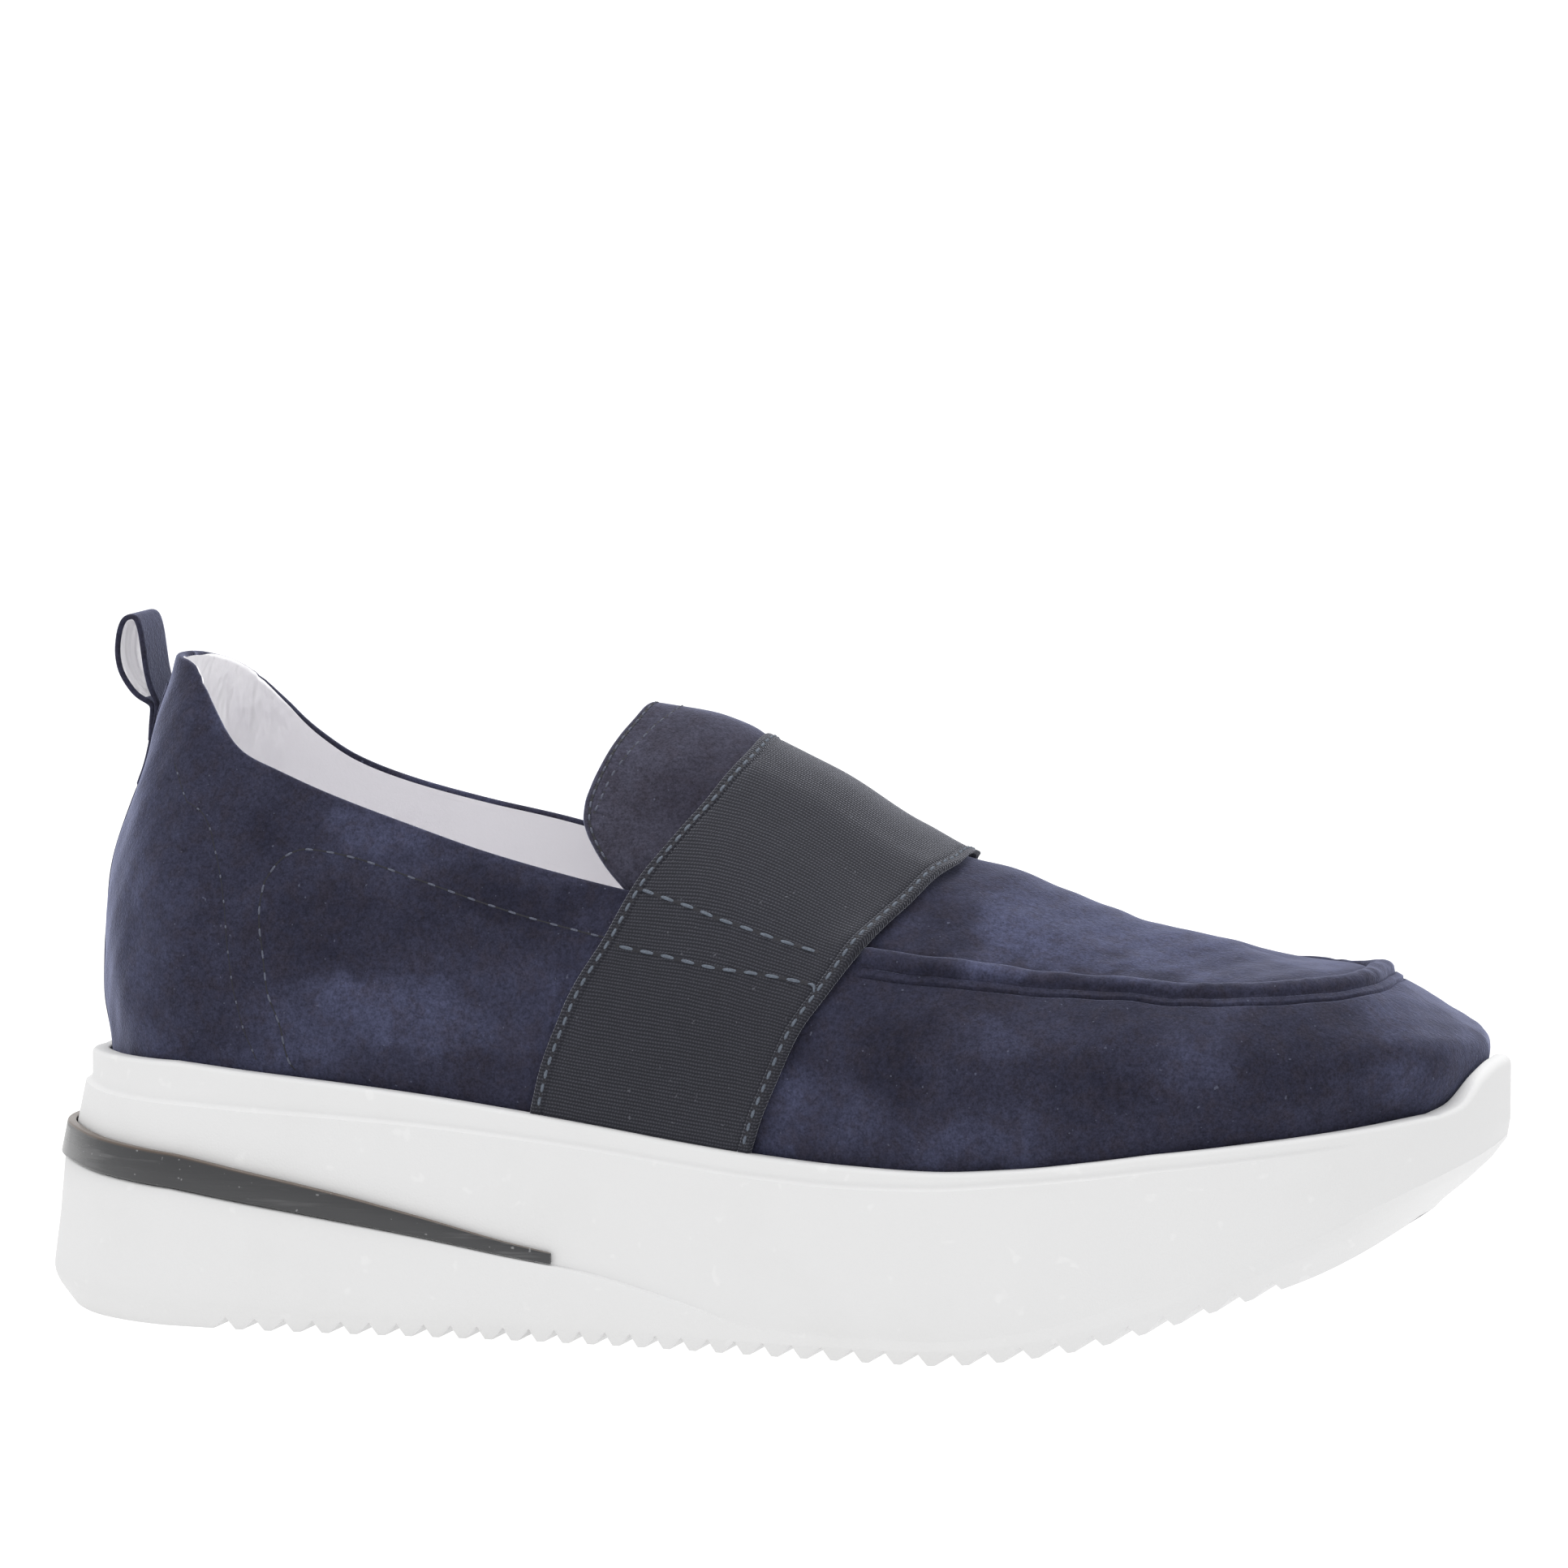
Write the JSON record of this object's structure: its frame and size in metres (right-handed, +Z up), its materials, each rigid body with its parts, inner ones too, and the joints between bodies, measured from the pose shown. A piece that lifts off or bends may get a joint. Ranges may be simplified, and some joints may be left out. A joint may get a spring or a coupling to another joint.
{
  "type": "platform loafer",
  "caption": "Slip-on loafer on a thick platform sole, with an elastic band over the instep, a raised apron seam, a standing tongue and a heel pull loop.",
  "frame": {"origin": "centre of the box round the whole shoe, on the floor", "axes": "+X from the heel to the toe, +Y to the medial side of this right shoe, +Z up"},
  "size_m": [0.2712, 0.0968, 0.1255],
  "materials": {
    "sole_unit": "matte white moulded foam rubber",
    "heel_band": "glossy anthracite",
    "upper": "navy suede",
    "insole": "smooth pale lining leather",
    "tongue": "navy suede",
    "strap": "charcoal woven elastic",
    "pull_loop": "navy suede tape"
  },
  "bodies": {
    "root": {"sole_unit": "sole_unit", "heel_band": "heel_band", "upper": "upper", "insole": "insole", "tongue": "tongue", "strap": "strap", "pull_loop": "pull_loop"}
  },
  "joints": []
}
